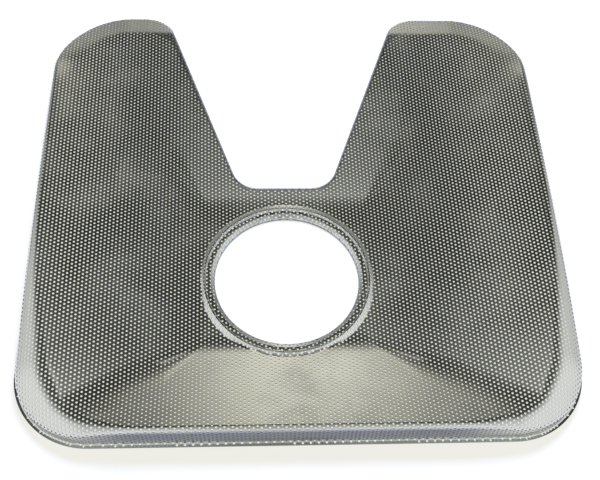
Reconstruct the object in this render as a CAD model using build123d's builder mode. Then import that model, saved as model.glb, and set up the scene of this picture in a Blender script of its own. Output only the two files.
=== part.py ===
import os
from math import asin, atan2, cos, degrees, hypot, radians, sqrt, tan

from build123d import *

# Dishwasher filter plate: one pressed stainless sheet, millimetres.
# The origin is on the axis of the filter opening, in the plane that the rim stands on.

# Sheet steel
sheet = 0.8

# Plan of the plate, measured from the axis of the opening, which stands left of the middle
left_side = 179.5
right_side = 196.0
front_edge = 120.0
rear_edge = 240.4
front_corner = 50.0
rear_corner = 58.0

# Notch that opens to the rear, between the two arms
notch_floor = 78.0
notch_half_width = 33.6
notch_flare = 20.3
mouth_flare = 80.0
notch_corner = 20.0
mouth_corner = 26.0
notch_roll = 2.4

# Heights above the surface that the rim stands on
dish_level = 3.0
side_rim_height = 22.5
front_rim_height = 20.0
rear_rim_height = 21.5

# Dish: a flat middle and four panels that rise to the rim, with blended creases
dish_half_width = 57.0
dish_front = 60.0
dish_rear = 60.0
crease_blend = 90.0
floor_blend = 60.0

# Rim: rolled shoulder, upright flange and a narrow lip at its foot
rim_roll = 7.5
lip_width = 2.5

# Seat for the filter cup: raised bead, flat seat and a lip turned down into the opening
opening_radius = 51.0
seat_inner_radius = 54.0
bead_inner_radius = 58.3
ring_radius = 62.5
bead_height = 2.6
seat_height = 0.6
opening_lip_drop = 1.4
bead_round = 0.8

# Perforation: staggered columns of holes over the panels
hole_radius = 9.0
hole_sides = 8
hole_margin = 4.0
column_pitch = 30.0
row_shift = 8.0

# Cutting solids run past the sheet by this much
over = 30.0


def panel_slope(run, rim_height):
    """Angle of a panel that leaves the flat middle and touches the top of the rolled rim."""
    up = rim_height - rim_roll - dish_level
    return degrees(atan2(up, run) + asin(rim_roll / hypot(run, up)))


left_slope = panel_slope(left_side - rim_roll - dish_half_width, side_rim_height)
right_slope = panel_slope(right_side - rim_roll - dish_half_width, side_rim_height)
front_slope = panel_slope(front_edge - rim_roll - dish_front, front_rim_height)
rear_slope = panel_slope(rear_edge - rim_roll - dish_rear, rear_rim_height)


def outer_plan(inset):
    """Outline of the whole plate without the notch, drawn in by the inset."""
    with BuildSketch() as plan:
        with BuildLine():
            Polyline(
                (-left_side + inset, -front_edge + inset),
                (right_side - inset, -front_edge + inset),
                (right_side - inset, rear_edge - inset),
                (-left_side + inset, rear_edge - inset),
                close=True,
            )
        make_face()
        fillet(plan.vertices().group_by(Axis.Y)[0], front_corner - inset)
        fillet(plan.vertices().group_by(Axis.Y)[-1], rear_corner - inset)
    return plan.sketch


def notch_plan(inset):
    """Ground round the notch: its straight sides splay to the rear and turn out at the mouth."""
    flare = tan(radians(notch_flare))
    lean = tan(radians(90 - mouth_flare))
    foot_x = notch_half_width + inset / cos(radians(notch_flare)) - inset * flare
    foot_y = notch_floor - inset
    mouth_y = rear_edge - inset
    mouth_x = foot_x + (mouth_y - foot_y) * flare
    far = left_side + right_side
    far_y = mouth_y + (far - mouth_x) * lean
    with BuildSketch() as plan:
        with BuildLine():
            Polyline(
                (-far, -far),
                (far, -far),
                (far, far_y),
                (mouth_x, mouth_y),
                (foot_x, foot_y),
                (-foot_x, foot_y),
                (-mouth_x, mouth_y),
                (-far, far_y),
                close=True,
            )
        make_face()
        fillet(plan.vertices().filter_by(lambda v: abs(v.X) < foot_x + sheet), notch_corner + inset)
        mouth = plan.vertices().filter_by(lambda v: abs(v.Y - mouth_y) < sheet)
        fillet(mouth, mouth_corner - inset)
    return plan.sketch


def dish(inset):
    """Space over the panels; with the sheet as inset, the space over their undersides."""
    low = dish_level - inset
    high = side_rim_height + 2 * over
    with BuildPart() as space:
        for level in (low, high):
            left, right, front, rear = (
                flat + inset * tan(radians(slope / 2)) + (level - low) / tan(radians(slope))
                for flat, slope in (
                    (dish_half_width, left_slope),
                    (dish_half_width, right_slope),
                    (dish_front, front_slope),
                    (dish_rear, rear_slope),
                )
            )
            with BuildSketch(Plane.XY.offset(level)):
                with BuildLine():
                    Polyline((-left, -front), (right, -front), (right, rear), (-left, rear), close=True)
                make_face()
        loft()
        creases = space.edges().filter_by(lambda e: low + 1 < e.center().Z < high - 1)
        fillet(creases, crease_blend + inset)
        floor = space.faces().sort_by(Axis.Z)[0]
        fillet(floor.edges(), floor_blend + inset)
    return space.part


def rolled_block(plan, space, roll):
    """Block on a plan, cut to the panels, with its upper edge rolled over."""
    with BuildPart() as block:
        add(plan)
        extrude(amount=side_rim_height + over)
        add(space, mode=Mode.SUBTRACT)
        walls = block.faces().filter_by(lambda f: abs(f.normal_at().Z) < 0.001)
        brim = walls.edges().filter_by(
            lambda e: e.center().Z > sheet and abs(e.tangent_at(0.5).Z) < 0.9
        )
        within = left_side + right_side - over
        brim = brim.filter_by(lambda e: abs(e.center().X) < within and e.center().Y > -within)
        fillet(brim, roll)
    return block.part


def hole_sites():
    """Centres of the holes in staggered columns, clear of the rim, the notch and the ring."""
    clear = hole_radius + hole_margin
    with BuildSketch() as field:
        add(outer_plan(rim_roll + clear))
        add(notch_plan(notch_roll + clear), mode=Mode.INTERSECT)
        Circle(ring_radius + clear, mode=Mode.SUBTRACT)
    row_pitch = column_pitch * 2 / sqrt(3)
    middle_x = (right_side - left_side) / 2
    reach = int((left_side + right_side) / column_pitch)
    sites = []
    for column in range(-reach, reach):
        for row in range(-reach, reach):
            x = middle_x + (column + 0.5) * column_pitch
            y = row_shift + (row + column % 2 / 2) * row_pitch
            if field.face().is_inside((x, y)):
                sites.append((x, y))
    return sites


outside = dish(0)
outer_block = rolled_block(outer_plan(0), outside, rim_roll)
outer_notch = rolled_block(notch_plan(0), outside, notch_roll)
inside = dish(sheet)
inner_block = rolled_block(outer_plan(sheet), inside, rim_roll - sheet)
inner_notch = rolled_block(notch_plan(sheet), inside, notch_roll - sheet)

# Hollow under the sheet: everything that the panels, rim and notch edge are folded round
with BuildPart() as hollow:
    add(inner_block)
    add(inner_notch, mode=Mode.INTERSECT)

# Lip at the foot of the rim, which ends at the mouth of the notch
with BuildPart() as lip:
    with BuildSketch():
        add(outer_plan(-lip_width))
        add(outer_plan(sheet), mode=Mode.SUBTRACT)
    extrude(amount=sheet)
    add(outer_notch, mode=Mode.INTERSECT)

# Ring that carries the filter cup, one bent section turned round the opening
middle = dish_level - sheet / 2
seat_level = middle + seat_height
lip_level = seat_level - opening_lip_drop
wall_radius = ring_radius - sheet / 2
bead_radius = bead_inner_radius + sheet / 2
mouth_radius = opening_radius + sheet / 2
with BuildPart() as ring:
    with BuildSketch(Plane.XZ):
        with BuildLine() as section:
            Polyline(
                (wall_radius, dish_level - sheet),
                (wall_radius, middle + bead_height),
                (bead_radius, middle + bead_height),
                (bead_radius, seat_level),
                (seat_inner_radius, seat_level),
                (mouth_radius, lip_level),
                (mouth_radius, 0),
            )
        trace(line_width=sheet)
    revolve(axis=Axis.Z)
    crest = ring.faces().filter_by(Plane.XY).sort_by(Axis.Z)[-1]
    fillet(crest.edges(), bead_round)

with BuildPart() as filter_plate:
    add(outer_block)
    with BuildSketch():
        with Locations(*hole_sites()):
            RegularPolygon(hole_radius, int(hole_sides))
    extrude(amount=side_rim_height, mode=Mode.SUBTRACT)
    add(outer_notch, mode=Mode.INTERSECT)
    add(hollow.part, mode=Mode.SUBTRACT)
    add(lip.part)
    Cylinder(wall_radius, 2 * over, mode=Mode.SUBTRACT)
    add(ring.part)

filter_plate.part.label = "filter_plate"
os.makedirs("parts", exist_ok=True)
export_step(filter_plate.part, "parts/filter_plate.step")
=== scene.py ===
from math import asin, atan2, cos, hypot, pi, radians, sin, sqrt, tan

import bpy
import numpy as np
from mathutils import Matrix, Vector, geometry


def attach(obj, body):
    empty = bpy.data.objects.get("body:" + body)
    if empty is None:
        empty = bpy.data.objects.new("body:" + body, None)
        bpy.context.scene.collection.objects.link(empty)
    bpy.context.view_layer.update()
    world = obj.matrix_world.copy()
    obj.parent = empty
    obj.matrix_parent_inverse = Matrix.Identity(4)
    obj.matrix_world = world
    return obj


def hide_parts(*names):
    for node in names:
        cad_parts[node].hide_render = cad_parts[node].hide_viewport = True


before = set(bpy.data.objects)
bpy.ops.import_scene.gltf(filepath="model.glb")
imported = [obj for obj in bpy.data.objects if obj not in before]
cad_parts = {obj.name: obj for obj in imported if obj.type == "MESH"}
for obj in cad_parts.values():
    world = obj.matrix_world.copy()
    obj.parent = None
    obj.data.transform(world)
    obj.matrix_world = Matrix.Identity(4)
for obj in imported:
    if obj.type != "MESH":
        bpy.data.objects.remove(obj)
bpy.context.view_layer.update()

# Dishwasher filter plate: the pressed sheet with its true perforation. Sizes in millimetres.
MM = 0.001
SHEET = 0.8

# Plan of the plate, measured from the axis of the opening
LEFT_SIDE = 179.5
RIGHT_SIDE = 196.0
FRONT_EDGE = 120.0
REAR_EDGE = 240.4
FRONT_CORNER = 50.0
REAR_CORNER = 58.0
NOTCH_FLOOR = 78.0
NOTCH_HALF_WIDTH = 33.6
NOTCH_FLARE = 20.3
NOTCH_CORNER = 20.0
MOUTH_CORNER = 26.0

# Dish and rim
DISH_LEVEL = 3.0
SIDE_RIM_HEIGHT = 22.5
FRONT_RIM_HEIGHT = 20.0
REAR_RIM_HEIGHT = 21.5
DISH_HALF_WIDTH = 57.0
DISH_FRONT = 52.0
DISH_REAR = 60.0
CREASE_BLEND = 90.0
REAR_CREASE_BLEND = 300.0
FLOOR_BLEND = 60.0
REAR_FLOOR_BLEND = 200.0
RIM_ROLL = 3.6
SIDE_TURN = radians(20.0)
CORNER_ROLL = 36.0
CORNER_TURN = radians(42.0)
CORNER_REACH = (-13.0, 209.0)
CORNER_STRETCH = (2.4, 1.0)
TIP_FOLD = 20.0
TIP_BLEND = 25.0
TIP_TURN = radians(13.5)
TIP_REACH = (165.0, 225.0)
NOTCH_ROLL = 2.4
LIP_WIDTH = 2.5
LIP_BEND = 1.0

# Ring round the opening
OPENING_RADIUS = 51.0
SEAT_INNER_RADIUS = 54.2
BEAD_INNER_RADIUS = 57.6
RING_RADIUS = 62.5
BEAD_TOP = 5.0
SEAT_TOP = 3.6
MOUTH_TOP = 2.04
BEAD_OUTER_RADIUS = 59.4
BEAD_ROUND = 0.6
SEAT_ROUND = 0.35

# Perforation: staggered round holes in columns that run front to back
HOLE_PITCH = 3.0
HOLE_DIAMETER = 1.6
HOLE_SIDES = 8
PATTERN_TURN = 1.09
PATTERN_START = (-0.4, -0.6)
COLUMN_PITCH = HOLE_PITCH * sqrt(3) / 2
ACROSS = np.array([cos(radians(PATTERN_TURN)), sin(radians(PATTERN_TURN))])
ALONG = np.array([-ACROSS[1], ACROSS[0]])
HOLE_MARGIN = 0.35
SEAMS = (-121.0, -37.0, 62.0, 139.0)

# Mesh steps along and across the folds
OUTLINE_STEP = 2.2
LEAST_LINE_STEPS = 2
LEAST_ARC_STEPS = 6
RING_STEPS = 180
BEAD_STEPS = 3
SEAM_REACH = 400.0
SEAM_STEPS = 400
EDGE_STEPS = (("shoulder", 6), ("roll", 5), ("wall", 1), ("lip_turn", 2), ("flat", 1))
NORMAL_STEP = 0.02
SLOPE_STEP = 0.5
SLOPE_ROUNDS = 3
BLANK_MARGIN = 45.0
EDGE_REACH = 60.0
TINY = 1e-6
NO_LENGTH = 1e-15
MERGE_GAP = 1e-5
FAR = 1e3
UNREACHED = 1e9
PIECES = ("sheet_left", "sheet_middle_left", "sheet_middle", "sheet_middle_right", "sheet_right")

# Steel
STEEL_COLOUR = (0.62, 0.63, 0.61)
HAZE_COLOUR = (0.74, 0.75, 0.73)
STEEL_ROUGHNESS = 0.11
HAZE_ROUGHNESS = 0.32
HAZE_SCALE = 22.0
HAZE_DETAIL = 4.0
HAZE_BREAKUP = 0.6
HAZE_SPREAD = (0.42, 0.75)

# Floor and light; an arch runs from the back over the top to the front, a wing from front to back
FLOOR_HALF = 6000.0
FLOOR_LEVEL = -0.1
FLOOR_GLOW = (0.75, 0.73, 0.58)
FLOOR_MATT = (0.18, 0.20, 0.36)
# Painted shade: the floor's glow as the steel reflects it, from its share near the middle, where the plate's
# shadow falls, to its share beyond the shade edge
FLOOR_MIRRORED_PAINTED_SHADE = (0.28, 1.0)
FLOOR_SHADE_EDGE = (100.0, 165.0)
MIDDLE_ARCH = (
    (0.0, (1.00, 0.98, 0.84)),
    (36.0, (0.98, 0.96, 0.82)),
    (41.0, (0.60, 0.59, 0.50)),
    (46.0, (0.14, 0.14, 0.125)),
    (52.0, (0.04, 0.045, 0.04)),
    (61.0, (0.04, 0.045, 0.04)),
    (64.0, (0.08, 0.085, 0.08)),
    (68.0, (0.40, 0.41, 0.39)),
    (72.0, (0.46, 0.48, 0.46)),
    (110.0, (0.36, 0.38, 0.35)),
    (150.0, (0.68, 0.70, 0.65)),
    (180.0, (0.72, 0.74, 0.69)),
)
SIDE_ARCH = (
    (0.0, (0.48, 0.48, 0.43)),
    (32.0, (0.30, 0.30, 0.27)),
    (42.0, (0.05, 0.055, 0.048)),
    (66.0, (0.045, 0.05, 0.048)),
    (78.0, (0.08, 0.085, 0.083)),
    (92.0, (0.42, 0.44, 0.45)),
    (120.0, (0.68, 0.71, 0.73)),
    (150.0, (0.92, 0.95, 0.97)),
    (180.0, (0.92, 0.94, 0.95)),
)
MIDDLE_PLACE = 0.05
MIDDLE_EDGE = (0.02, 0.19)
WING_PLACE = 0.0
WING_EDGE = (0.34, 0.64)
WING_ARCH = (
    (-1.0, (0.95, 0.98, 1.0)),
    (0.12, (0.92, 0.94, 0.95)),
    (0.44, (0.62, 0.64, 0.63)),
    (0.62, (0.30, 0.31, 0.29)),
    (1.0, (0.20, 0.21, 0.19)),
)
BACK_LIGHT_PLACE = (150.0, 900.0, 1100.0)
BACK_LIGHT_SIZE = 500.0
BACK_LIGHT_POWER = 34.0

# Camera at the place from which the photograph was taken
CAMERA_PLACE = (-23.57, -340.61, 591.85)
CAMERA_LENS = 57.65
CAMERA_SENSOR = 36.0
CAMERA_NEAR = 10.0
CAMERA_HEADING = 5.19
CAMERA_TILT = 57.58
CAMERA_ROLL = 4.04


def panel_slope(run, rim_height):
    """Slope of a panel that leaves the flat middle and touches the top of the rolled rim."""
    up = rim_height - RIM_ROLL - DISH_LEVEL
    return atan2(up, run) + asin(RIM_ROLL / hypot(run, up))


LEFT_SLOPE = panel_slope(LEFT_SIDE - RIM_ROLL - DISH_HALF_WIDTH, SIDE_RIM_HEIGHT)
RIGHT_SLOPE = panel_slope(RIGHT_SIDE - RIM_ROLL - DISH_HALF_WIDTH, SIDE_RIM_HEIGHT)
FRONT_SLOPE = panel_slope(FRONT_EDGE - RIM_ROLL - DISH_FRONT, FRONT_RIM_HEIGHT)
REAR_SLOPE = panel_slope(REAR_EDGE - RIM_ROLL - DISH_REAR, REAR_RIM_HEIGHT)


def smooth(share):
    """Share from 0 to 1 that leaves and arrives gently."""
    share = np.clip(share, 0, 1)
    return share * share * (3 - 2 * share)


def panel_rise(distance, slope, blend):
    """Height that a panel has gained at a distance past its fold, which is blended."""
    start = -blend * tan(slope / 2)
    end = start + blend * sin(slope)
    along = np.clip(distance - start, 0, end - start)
    bend = blend - np.sqrt(blend ** 2 - along ** 2)
    return bend + np.maximum(distance - end, 0) * tan(slope)


def tip_drop(x, y):
    """How far the band along the rear edge and its outer corners is bent down."""
    side = np.where(x < 0, LEFT_SIDE + x, RIGHT_SIDE - x)
    past_side = np.maximum(REAR_CORNER - side, 0)
    past_rear = np.maximum(y - REAR_EDGE + REAR_CORNER, 0)
    inside = REAR_CORNER - np.hypot(past_side, past_rear)
    share = smooth((y - TIP_REACH[0]) / (TIP_REACH[1] - TIP_REACH[0]))
    return share * panel_rise(TIP_FOLD - inside, TIP_TURN, TIP_BLEND)


def dish_height(x, y):
    """Height of the upper face of the panels."""
    left = panel_rise(-x - DISH_HALF_WIDTH, LEFT_SLOPE, FLOOR_BLEND)
    right = panel_rise(x - DISH_HALF_WIDTH, RIGHT_SLOPE, FLOOR_BLEND)
    front = panel_rise(-y - DISH_FRONT, FRONT_SLOPE, FLOOR_BLEND)
    rear = panel_rise(y - DISH_REAR, REAR_SLOPE, REAR_FLOOR_BLEND)
    sides = np.maximum(left, right)
    side_slope = (LEFT_SLOPE + RIGHT_SLOPE) / 2
    ends = np.maximum(front, rear)
    end_slope = np.where(front > rear, FRONT_SLOPE, REAR_SLOPE)
    crease = np.where(front > rear, CREASE_BLEND, REAR_CREASE_BLEND)
    fold = np.sqrt(side_slope ** 2 + end_slope ** 2)
    reach = 4 * crease * (1 / np.cos(fold / 2) - 1)
    reach = np.minimum(reach, np.minimum(sides, ends)) + TINY
    overlap = np.maximum(reach - np.abs(sides - ends), 0)
    rise = np.maximum(sides, ends) + overlap ** 2 / (4 * reach)
    return DISH_LEVEL + rise - tip_drop(x, y)


def outline_pieces():
    """Lines and arcs of the outline, anticlockwise, each with its roll and lip at both ends."""
    flare = tan(radians(NOTCH_FLARE))
    mouth = NOTCH_HALF_WIDTH + (REAR_EDGE - NOTCH_FLOOR) * flare
    rim, notch = (RIM_ROLL, LIP_WIDTH), (NOTCH_ROLL, 0.0)
    corners = [
        ((-LEFT_SIDE, -FRONT_EDGE), FRONT_CORNER, rim),
        ((RIGHT_SIDE, -FRONT_EDGE), FRONT_CORNER, rim),
        ((RIGHT_SIDE, REAR_EDGE), REAR_CORNER, rim),
        ((mouth, REAR_EDGE), MOUTH_CORNER, notch),
        ((NOTCH_HALF_WIDTH, NOTCH_FLOOR), NOTCH_CORNER, notch),
        ((-NOTCH_HALF_WIDTH, NOTCH_FLOOR), NOTCH_CORNER, notch),
        ((-mouth, REAR_EDGE), MOUTH_CORNER, rim),
        ((-LEFT_SIDE, REAR_EDGE), REAR_CORNER, rim),
    ]
    pieces = []
    ends = []
    for i, (corner, radius, after) in enumerate(corners):
        here = Vector(corner)
        back = (Vector(corners[i - 1][0]) - here).normalized()
        ahead = (Vector(corners[(i + 1) % len(corners)][0]) - here).normalized()
        left_turn = (-back).cross(ahead) > 0
        half = (-back).angle(ahead) / 2
        reach = radius * tan(half)
        middle = (back + ahead).normalized()
        centre = here + middle * (radius / cos(half))
        first, last = here + back * reach, here + ahead * reach
        ends.append((first, last))
        pieces.append(("arc", centre, radius, left_turn, first, last, corners[i - 1][2], after))
    lines = []
    for i, (_, _, after) in enumerate(corners):
        lines.append(("line", ends[i][1], ends[(i + 1) % len(corners)][0], after))
    return [piece for pair in zip(pieces, lines) for piece in pair]


OUTLINE = outline_pieces()


def nearest_edge(points):
    """For each point: distance inside the outline, outward normal, and the roll and lip there."""
    count = len(points)
    best = np.full(count, UNREACHED)
    normal = np.zeros((count, 2))
    fold = np.zeros((count, 2))
    for piece in OUTLINE:
        if piece[0] == "line":
            _, start, end, kind = piece
            start = np.array(start)
            run = np.array(end) - start
            length = np.hypot(*run)
            run = run / length
            out = np.array([run[1], -run[0]])
            along = (points - start) @ run
            inside = -((points - start) @ out)
            fits = (along >= -TINY) & (along <= length + TINY)
            normals = np.broadcast_to(out, (count, 2))
            folds = np.broadcast_to(np.array(kind), (count, 2))
        else:
            _, centre, radius, left_turn, start, end, before, after = piece
            centre = np.array(centre)
            spoke = points - centre
            length = np.maximum(np.hypot(spoke[:, 0], spoke[:, 1]), TINY)
            sign = 1.0 if left_turn else -1.0
            inside = sign * (radius - length)
            normals = sign * spoke / length[:, None]
            first = np.array(start) - centre
            last = np.array(end) - centre
            sweep = np.arccos(np.clip(first @ last / radius ** 2, -1, 1))
            angle = np.arctan2(first[0] * spoke[:, 1] - first[1] * spoke[:, 0], spoke @ first) * sign
            fits = (angle >= -TINY) & (angle <= sweep + TINY)
            share = smooth(angle / sweep)[:, None]
            folds = np.array(before) * (1 - share) + np.array(after) * share
        closer = fits & (np.abs(inside) < np.abs(best))
        best[closer] = inside[closer]
        normal[closer] = normals[closer]
        fold[closer] = folds[closer]
    return best, normal, fold


def shoulder(foot, tight):
    """Radius and turn of the shoulder, which widens towards the front corners."""
    corners = np.array([(-LEFT_SIDE, -FRONT_EDGE), (RIGHT_SIDE, -FRONT_EDGE)])
    gap = np.linalg.norm((foot[:, None] - corners) * CORNER_STRETCH, axis=2).min(1)
    rim = np.clip((tight - NOTCH_ROLL) / (RIM_ROLL - NOTCH_ROLL), 0, 1)
    corner = rim * smooth((CORNER_REACH[1] - gap) / (CORNER_REACH[1] - CORNER_REACH[0]))
    return tight + (CORNER_ROLL - RIM_ROLL) * corner, SIDE_TURN + (CORNER_TURN - SIDE_TURN) * corner


def rim_fold(foot, normal, fold):
    """Section of the folded edge at points of the outline: a wide shoulder, a tight roll and a lip."""
    tight, lip = fold.T
    wide, turn = shoulder(foot, tight)
    centre_out = (tight - wide) * np.sin(turn) - tight
    start = -centre_out
    for _ in range(SLOPE_ROUNDS):
        touch = foot - normal * start[:, None]
        ahead, behind = touch + normal * SLOPE_STEP, touch - normal * SLOPE_STEP
        slope = np.arctan((dish_height(*ahead.T) - dish_height(*behind.T)) / (2 * SLOPE_STEP))
        start = wide * np.sin(slope) - centre_out
    centre_z = dish_height(*(foot - normal * start[:, None]).T) - wide * np.cos(slope)
    tight_z = centre_z + (wide - tight) * np.cos(turn)
    bend = np.minimum(LIP_BEND, lip)
    return {
        "wide": wide,
        "tight": tight,
        "slope": slope,
        "turn": turn,
        "centre_out": centre_out,
        "centre_z": centre_z,
        "tight_z": tight_z,
        "start": start,
        "shoulder": wide * (turn + slope),
        "roll": tight * (pi / 2 - turn),
        "wall": np.maximum(tight_z - SHEET - bend, 0),
        "bend": bend,
        "lip_turn": bend * pi / 2,
        "flat": lip - bend,
    }


def edge_marks(foot, normal, fold):
    """Distances outward from the outline, on the flat blank, at which the sheet folds."""
    rim = rim_fold(foot, normal, fold)
    marks = [-rim["start"]]
    for part, count in EDGE_STEPS:
        marks += [marks[-1] + rim[part] * (k + 1) / count for k in range(count)]
    return marks


def ring_profile():
    """Section of the ring, as radius and height, from its outer wall to the foot of the opening."""
    r = BEAD_ROUND
    crest = BEAD_TOP - r
    steps = np.linspace(0, pi / 2, BEAD_STEPS + 1)
    points = [(RING_RADIUS, DISH_LEVEL)]
    points += [(BEAD_OUTER_RADIUS - r + r * cos(a), crest + r * sin(a)) for a in steps[1:]]
    points += [(BEAD_INNER_RADIUS + r - r * sin(a), crest + r * cos(a)) for a in steps]
    points += [
        (BEAD_INNER_RADIUS, SEAT_TOP + SEAT_ROUND),
        (BEAD_INNER_RADIUS - SEAT_ROUND, SEAT_TOP),
        (SEAT_INNER_RADIUS + SEAT_ROUND, SEAT_TOP),
        (SEAT_INNER_RADIUS - SEAT_ROUND, SEAT_TOP - SEAT_ROUND / 2),
        (OPENING_RADIUS + SEAT_ROUND, MOUTH_TOP + SEAT_ROUND / 2),
        (OPENING_RADIUS, MOUTH_TOP - SEAT_ROUND),
        (OPENING_RADIUS, 0.0),
    ]
    return np.array(points)


RING = ring_profile()
RING_LENGTH = np.concatenate([[0], np.cumsum(np.hypot(*np.diff(RING, axis=0).T))])


def pressed(points):
    """Where the points of the flat blank lie once the sheet is pressed: its upper face."""
    x, y = points.T.copy()
    z = dish_height(x, y)
    inside, normal, fold = nearest_edge(points)
    foot = points + normal * inside[:, None]
    rim = rim_fold(foot, normal, fold)
    beyond = rim["start"] - inside
    near = (beyond > 0) & (inside < EDGE_REACH)
    wide_turn = np.clip(beyond, 0, rim["shoulder"]) / rim["wide"] - rim["slope"]
    rest = np.maximum(beyond - rim["shoulder"], 0)
    rolled = rest > 0
    tight_turn = rim["turn"] + np.minimum(rest, rim["roll"]) / rim["tight"]
    out = np.where(
        rolled,
        rim["tight"] * (np.sin(tight_turn) - 1),
        rim["centre_out"] + rim["wide"] * np.sin(wide_turn),
    )
    up = np.where(
        rolled,
        rim["tight_z"] + rim["tight"] * np.cos(tight_turn),
        rim["centre_z"] + rim["wide"] * np.cos(wide_turn),
    )
    rest = np.maximum(rest - rim["roll"], 0)
    down = np.minimum(rest, rim["wall"])
    rest = rest - down
    bend = rim["bend"]
    corner = np.clip(rest / np.maximum(bend, TINY), 0, pi / 2)
    rest = np.maximum(rest - bend * pi / 2, 0)
    up = up - down - bend * np.sin(corner)
    out = out + bend * (1 - np.cos(corner)) + rest
    x = np.where(near, foot[:, 0] + normal[:, 0] * out, x)
    y = np.where(near, foot[:, 1] + normal[:, 1] * out, y)
    z = np.where(near, up, z)
    radius = np.hypot(x, y)
    in_ring = radius < RING_RADIUS
    along = np.maximum(RING_RADIUS - radius, 0)
    ring_radius = np.interp(along, RING_LENGTH, RING[:, 0])
    ring_height = np.interp(along, RING_LENGTH, RING[:, 1])
    spread = RING_RADIUS / np.maximum(radius, TINY)
    panel = dish_height(x * spread, y * spread)
    climb = np.clip(along / (BEAD_TOP - DISH_LEVEL), 0, 1)
    ring_height = ring_height + (panel - DISH_LEVEL) * (1 - climb)
    scale = np.where(in_ring, ring_radius / np.maximum(radius, TINY), 1)
    return np.stack([x * scale, y * scale, np.where(in_ring, ring_height, z)], 1)


def outline_points():
    """Points along the outline with their outward normals."""
    points = []
    for piece in OUTLINE:
        if piece[0] == "line":
            _, start, end, _ = piece
            steps = max(LEAST_LINE_STEPS, int((end - start).length / OUTLINE_STEP))
            points += [start.lerp(end, k / steps) for k in range(steps)]
        else:
            _, centre, radius, left_turn, start, end, _, _ = piece
            first = start - centre
            sweep = first.angle(end - centre) * (1 if left_turn else -1)
            steps = max(LEAST_ARC_STEPS, int(abs(sweep) * radius / OUTLINE_STEP))
            for k in range(steps):
                points.append(centre + Matrix.Rotation(sweep * k / steps, 2) @ first)
    return np.array([tuple(p) for p in points])


def lattice_site(column, place):
    """Centre of the hole in a column of the flat blank, counted from the pattern's start."""
    across = np.expand_dims(column * COLUMN_PITCH, -1)
    along = np.expand_dims((place + (column % 2) / 2) * HOLE_PITCH, -1)
    return across * ACROSS + along * ALONG + PATTERN_START


def blank_reach(points):
    """How far inside the cut edge of the flat blank each point lies, negative outside."""
    inside, normal, fold = nearest_edge(points)
    foot = points + normal * inside[:, None]
    last = edge_marks(foot, normal, fold)[-1]
    return np.where(np.abs(inside) < EDGE_REACH, inside + last, FAR)


INNER_EDGE = RING_RADIUS - RING_LENGTH[-1]


def blank_holes():
    """Centres of all holes on a grid of columns and places, and which lie whole on the blank."""
    reach = int((LEFT_SIDE + RIGHT_SIDE) / HOLE_PITCH)
    counts = np.arange(-reach, reach + 1)
    centres = lattice_site(*np.meshgrid(counts, counts, indexing="ij"))
    points = centres.reshape(-1, 2)
    clear = HOLE_DIAMETER / 2 + HOLE_MARGIN
    inside, _, _ = nearest_edge(points)
    keep = (inside > -BLANK_MARGIN) & (inside < UNREACHED) & (blank_reach(points) > clear)
    keep &= np.hypot(*points.T) > INNER_EDGE + clear
    return centres, keep.reshape(centres.shape[:2])


CENTRES, KEPT = blank_holes()


def in_hole(points):
    """Whether each point lies in one of the kept holes."""
    off = points - np.array(PATTERN_START)
    across = off @ ACROSS / COLUMN_PITCH
    along = off @ ALONG / HOLE_PITCH
    found = np.zeros(len(points), bool)
    middle = len(KEPT) // 2
    side = 2 * pi / HOLE_SIDES
    for column in (np.floor(across).astype(int), np.ceil(across).astype(int)):
        place = np.round(along - (column % 2) / 2).astype(int)
        x, y = (points - lattice_site(column, place)).T
        angle = np.arctan2(y, x)
        reach = np.hypot(x, y) * np.cos(angle - np.round(angle / side) * side)
        row = np.clip(column + middle, 0, len(KEPT) - 1)
        spot = np.clip(place + middle, 0, len(KEPT) - 1)
        found |= (reach < HOLE_DIAMETER / 2 * cos(side / 2)) & KEPT[row, spot]
    return found


def seam_lines():
    """A point on each straight cut between two columns of holes; the cuts part the mesh into pieces."""
    gaps = [(round(seam / COLUMN_PITCH) + 0.5) * COLUMN_PITCH for seam in SEAMS]
    return [np.array(PATTERN_START) + ACROSS * gap for gap in gaps]


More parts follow.
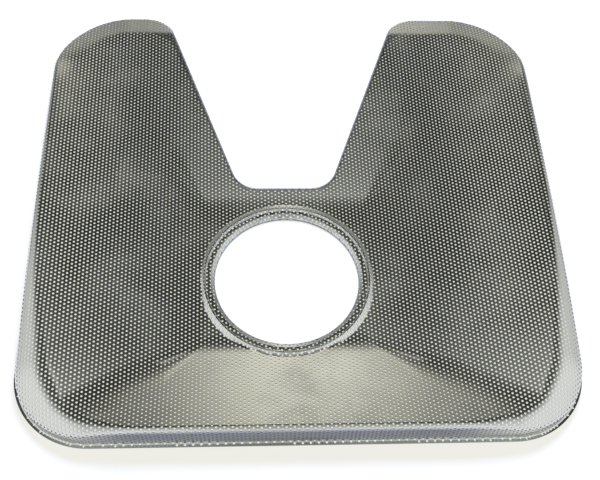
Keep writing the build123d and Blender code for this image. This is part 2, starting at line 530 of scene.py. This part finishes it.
def flat_mesh():
    """Triangles of the perforated blank, with every fold line as an edge of the mesh."""
    verts, edges = [], []

    def loop(points, closed=True):
        first = sum(len(v) for v in verts)
        n = len(points)
        verts.append(points)
        last = n if closed else n - 1
        edges.append(np.stack([first + np.arange(last), first + (np.arange(last) + 1) % n], 1))

    outline = outline_points()
    _, normal, fold = nearest_edge(outline)
    for mark in edge_marks(outline, normal, fold):
        loop(outline + normal * mark[:, None])
    circle = np.linspace(0, 2 * pi, RING_STEPS, endpoint=False)
    around = np.stack([np.cos(circle), np.sin(circle)], 1)
    for length in RING_LENGTH:
        loop(around * (RING_RADIUS - length))
    reach = np.linspace(-SEAM_REACH, SEAM_REACH, SEAM_STEPS + 1)[:, None]
    for base in seam_lines():
        loop(base + ALONG * reach, closed=False)
    holes = CENTRES[KEPT]
    angles = (np.arange(HOLE_SIDES) + 0.5) * 2 * pi / HOLE_SIDES
    rim = np.stack([np.cos(angles), np.sin(angles)], 1) * HOLE_DIAMETER / 2
    polygons = holes[:, None, :] + rim[None]
    first = sum(len(v) for v in verts)
    verts.append(polygons.reshape(-1, 2))
    index = first + np.arange(len(holes) * HOLE_SIDES).reshape(-1, HOLE_SIDES)
    edges.append(np.stack([index, np.roll(index, -1, 1)], 2).reshape(-1, 2))
    points = np.concatenate(verts)
    links = np.concatenate(edges)
    result = geometry.delaunay_2d_cdt(
        [Vector(p) for p in points.tolist()], links.tolist(), [], 0, MERGE_GAP, False
    )
    flat = np.array([tuple(p) for p in result[0]])
    faces = np.array(result[2])
    middle = flat[faces].mean(1)
    inside, _, _ = nearest_edge(middle)
    solid = (inside > -BLANK_MARGIN) & (blank_reach(middle) > 0)
    solid &= np.hypot(*middle.T) > INNER_EDGE * cos(pi / RING_STEPS)
    solid &= ~in_hole(middle)
    faces, middle = faces[solid], middle[solid]
    piece = sum((((middle - base) @ ACROSS) > 0).astype(int) for base in seam_lines())
    return flat, faces, piece


def pressed_normals(flat):
    """Normals of the upper face of the pressed sheet."""
    step_x, step_y = np.array([NORMAL_STEP, 0]), np.array([0, NORMAL_STEP])
    along_x = pressed(flat + step_x) - pressed(flat - step_x)
    along_y = pressed(flat + step_y) - pressed(flat - step_y)
    normal = np.cross(along_x, along_y)
    return normal / np.maximum(np.linalg.norm(normal, axis=1), NO_LENGTH)[:, None]


def sheet_mesh(name, faces, upper, normal):
    """Closed mesh of one piece of the sheet: upper face, underside and the walls of every cut."""
    used, faces = np.unique(faces, return_inverse=True)
    faces = faces.reshape(-1, 3)
    top, up = upper[used], normal[used]
    count = len(used)
    links = np.concatenate([faces[:, [0, 1]], faces[:, [1, 2]], faces[:, [2, 0]]])
    ids = links[:, 0].astype(np.int64) * count + links[:, 1]
    back = links[:, 1].astype(np.int64) * count + links[:, 0]
    a, b = links[~np.isin(ids, back)].T
    walls = np.concatenate([np.stack([a, a + count, b + count], 1), np.stack([a, b + count, b], 1)])
    triangles = np.concatenate([faces, faces[:, ::-1] + count, walls])
    places = np.concatenate([top, top - up * SHEET]) * MM
    edge_a, edge_b = places[a + count] - places[a], places[b] - places[a]
    wall_normal = np.cross(edge_a, edge_b)
    wall_normal /= np.maximum(np.linalg.norm(wall_normal, axis=1), NO_LENGTH)[:, None]
    corner_normals = np.concatenate([
        up[faces].reshape(-1, 3),
        -up[faces[:, ::-1]].reshape(-1, 3),
        np.repeat(np.concatenate([wall_normal, wall_normal]), 3, axis=0),
    ])
    mesh = bpy.data.meshes.new(name)
    mesh.vertices.add(len(places))
    mesh.vertices.foreach_set("co", places.astype(np.float32).ravel())
    mesh.loops.add(triangles.size)
    mesh.loops.foreach_set("vertex_index", triangles.astype(np.int32).ravel())
    mesh.polygons.add(len(triangles))
    mesh.polygons.foreach_set("loop_start", np.arange(0, triangles.size, 3, dtype=np.int32))
    mesh.polygons.foreach_set("use_smooth", np.ones(len(triangles), bool))
    mesh.update(calc_edges=True)
    mesh.normals_split_custom_set(corner_normals.tolist())
    return mesh


def shader_nodes(owner):
    """Empties a material's or world's nodes and returns helpers to add and join nodes."""
    owner.use_nodes = True
    tree = owner.node_tree
    tree.nodes.clear()

    def add(kind, **settings):
        node = tree.nodes.new(kind)
        for key, value in settings.items():
            if key in node.inputs:
                node.inputs[key].default_value = value
            else:
                setattr(node, key, value)
        return node

    return tree, add, tree.links.new


def steel_material():
    """Bright rolled stainless steel with the cloudy marks of use."""
    material = bpy.data.materials.new("bright_steel")
    tree, add, link = shader_nodes(material)
    output = add("ShaderNodeOutputMaterial")
    shader = add("ShaderNodeBsdfPrincipled", Metallic=1.0)
    place = add("ShaderNodeTexCoord")
    clouds = add("ShaderNodeTexNoise", Scale=HAZE_SCALE, Detail=HAZE_DETAIL, Roughness=HAZE_BREAKUP)
    haze = add("ShaderNodeMapRange")
    haze.inputs["From Min"].default_value = HAZE_SPREAD[0]
    haze.inputs["From Max"].default_value = HAZE_SPREAD[1]
    haze.inputs["To Min"].default_value = STEEL_ROUGHNESS
    haze.inputs["To Max"].default_value = HAZE_ROUGHNESS
    tint = add("ShaderNodeMix", data_type="RGBA")
    tint.inputs["A"].default_value = (*STEEL_COLOUR, 1)
    tint.inputs["B"].default_value = (*HAZE_COLOUR, 1)
    link(place.outputs["Object"], clouds.inputs["Vector"])
    link(clouds.outputs["Fac"], haze.inputs["Value"])
    link(clouds.outputs["Fac"], tint.inputs["Factor"])
    link(tint.outputs["Result"], shader.inputs["Base Color"])
    link(haze.outputs["Result"], shader.inputs["Roughness"])
    link(shader.outputs["BSDF"], output.inputs["Surface"])
    return material


def floor_material():
    """White floor: mostly its own white, so that it stays white, and a part that takes the shadow; the glow
    that the steel reflects carries painted shade, dimmed near the middle where the plate's shadow falls.
    """
    material = bpy.data.materials.new("white_floor")
    tree, add, link = shader_nodes(material)
    output = add("ShaderNodeOutputMaterial")
    both = add("ShaderNodeAddShader")
    seen = add("ShaderNodeLightPath")
    glow = add("ShaderNodeEmission", Color=(*FLOOR_GLOW, 1))
    matt = add("ShaderNodeBsdfDiffuse", Color=(*FLOOR_MATT, 1))
    # Painted shade: the glow that the steel reflects is dimmed towards the middle of the floor, where the
    # plate's shadow falls
    mirrored_painted_shade = add("ShaderNodeMath", operation="MULTIPLY")
    place = add("ShaderNodeNewGeometry")
    axes = add("ShaderNodeSeparateXYZ")
    aside = add("ShaderNodeMath", operation="ABSOLUTE")
    shade = add("ShaderNodeMapRange", interpolation_type="SMOOTHSTEP")
    shade.inputs["From Min"].default_value = FLOOR_SHADE_EDGE[0] * MM
    shade.inputs["From Max"].default_value = FLOOR_SHADE_EDGE[1] * MM
    shade.inputs["To Min"].default_value = FLOOR_MIRRORED_PAINTED_SHADE[0]
    shade.inputs["To Max"].default_value = FLOOR_MIRRORED_PAINTED_SHADE[1]
    link(place.outputs["Position"], axes.inputs["Vector"])
    link(axes.outputs["X"], aside.inputs[0])
    link(aside.outputs["Value"], shade.inputs["Value"])
    link(shade.outputs["Result"], mirrored_painted_shade.inputs[1])
    shown = add("ShaderNodeMath", operation="MAXIMUM")
    strength = add("ShaderNodeMath", operation="MAXIMUM")
    link(seen.outputs["Is Glossy Ray"], mirrored_painted_shade.inputs[0])
    link(seen.outputs["Is Camera Ray"], shown.inputs[0])
    link(seen.outputs["Is Transmission Ray"], shown.inputs[1])
    link(shown.outputs["Value"], strength.inputs[0])
    link(mirrored_painted_shade.outputs["Value"], strength.inputs[1])
    link(strength.outputs["Value"], glow.inputs["Strength"])
    link(glow.outputs["Emission"], both.inputs[0])
    link(matt.outputs["BSDF"], both.inputs[1])
    link(both.outputs["Shader"], output.inputs["Surface"])
    return material


def studio_world():
    """Studio round the plate: bright low backdrop, dark upper back, bright soft light above and in front."""
    world = bpy.data.worlds.new("studio")
    bpy.context.scene.world = world
    tree, add, link = shader_nodes(world)
    output = add("ShaderNodeOutputWorld")
    background = add("ShaderNodeBackground", Strength=1.0)
    place = add("ShaderNodeTexCoord")
    axes = add("ShaderNodeSeparateXYZ")
    height = add("ShaderNodeMath", operation="ARCTAN2")
    turn = add("ShaderNodeMath", operation="MULTIPLY")
    turn.inputs[1].default_value = 1 / pi
    link(place.outputs["Generated"], axes.inputs["Vector"])
    link(axes.outputs["Z"], height.inputs[0])
    link(axes.outputs["Y"], height.inputs[1])
    link(height.outputs["Value"], turn.inputs[0])

    def ramp(colours, value):
        shade = add("ShaderNodeValToRGB")
        stops = shade.color_ramp.elements
        while len(stops) > 1:
            stops.remove(stops[-1])
        for number, (place, colour) in enumerate(colours):
            stop = stops[0] if number == 0 else stops.new(place)
            stop.position = place
            stop.color = (*colour, 1)
        link(value, shade.inputs["Fac"])
        return shade.outputs["Color"]

    def arch(colours):
        return ramp([(radians(angle) / pi, colour) for angle, colour in colours], turn.outputs["Value"])

    def sideways(middle, edge):
        shift = add("ShaderNodeMath", operation="SUBTRACT")
        shift.inputs[1].default_value = middle
        away = add("ShaderNodeMath", operation="ABSOLUTE")
        share = add("ShaderNodeMapRange", interpolation_type="SMOOTHSTEP")
        share.inputs["From Min"].default_value = edge[0]
        share.inputs["From Max"].default_value = edge[1]
        link(axes.outputs["X"], shift.inputs[0])
        link(shift.outputs["Value"], away.inputs[0])
        link(away.outputs["Value"], share.inputs["Value"])
        return share.outputs["Result"]

    back = add("ShaderNodeMix", data_type="RGBA")
    link(sideways(MIDDLE_PLACE, MIDDLE_EDGE), back.inputs["Factor"])
    link(arch(MIDDLE_ARCH), back.inputs["A"])
    link(arch(SIDE_ARCH), back.inputs["B"])
    depth = add("ShaderNodeMapRange")
    depth.inputs["From Min"].default_value = -1.0
    link(axes.outputs["Y"], depth.inputs["Value"])
    wing = ramp([((y + 1) / 2, colour) for y, colour in WING_ARCH], depth.outputs["Result"])
    wings = add("ShaderNodeMix", data_type="RGBA")
    link(sideways(WING_PLACE, WING_EDGE), wings.inputs["Factor"])
    link(back.outputs["Result"], wings.inputs["A"])
    link(wing, wings.inputs["B"])
    link(wings.outputs["Result"], background.inputs["Color"])
    link(background.outputs["Background"], output.inputs["Surface"])


def add_floor():
    """Pale floor under the plate."""
    half = FLOOR_HALF * MM
    mesh = bpy.data.meshes.new("floor")
    corners = [(-half, -half, 0), (half, -half, 0), (half, half, 0), (-half, half, 0)]
    mesh.from_pydata(corners, [], [(0, 1, 2, 3)])
    floor = bpy.data.objects.new("floor", mesh)
    floor.location.z = FLOOR_LEVEL * MM
    mesh.materials.append(floor_material())
    bpy.context.scene.collection.objects.link(floor)


def add_light():
    """Soft light high behind the plate, which throws its shadow forward."""
    light = bpy.data.lights.new("back_light", "AREA")
    light.energy = BACK_LIGHT_POWER
    light.shape = "DISK"
    light.size = BACK_LIGHT_SIZE * MM
    lamp = bpy.data.objects.new("back_light", light)
    lamp.location = Vector(BACK_LIGHT_PLACE) * MM
    lamp.rotation_euler = (-lamp.location).to_track_quat("-Z", "Y").to_euler()
    lamp.visible_glossy = False
    bpy.context.scene.collection.objects.link(lamp)


def add_camera():
    """Camera at the photograph's place, turned by heading, tilt and roll."""
    data = bpy.data.cameras.new("camera")
    data.lens = CAMERA_LENS
    data.sensor_width = CAMERA_SENSOR
    data.clip_start = CAMERA_NEAR * MM
    camera = bpy.data.objects.new("camera", data)
    turn = Matrix.Rotation(-radians(CAMERA_HEADING), 4, "Z")
    tilt = Matrix.Rotation(radians(90 - CAMERA_TILT), 4, "X")
    roll = Matrix.Rotation(radians(CAMERA_ROLL), 4, "Z")
    camera.matrix_world = Matrix.Translation(Vector(CAMERA_PLACE) * MM) @ turn @ tilt @ roll
    bpy.context.scene.collection.objects.link(camera)
    bpy.context.scene.camera = camera


flat, faces, piece_of_face = flat_mesh()
upper = pressed(flat)
normal = pressed_normals(flat)
steel = steel_material()
for number, name in enumerate(PIECES):
    mesh = sheet_mesh(name, faces[piece_of_face == number], upper, normal)
    mesh.materials.append(steel)
    piece = bpy.data.objects.new(name, mesh)
    bpy.context.scene.collection.objects.link(piece)
    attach(piece, "root")
    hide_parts("filter_plate")

add_floor()
add_light()
studio_world()
add_camera()
bpy.context.scene.view_settings.view_transform = "Standard"
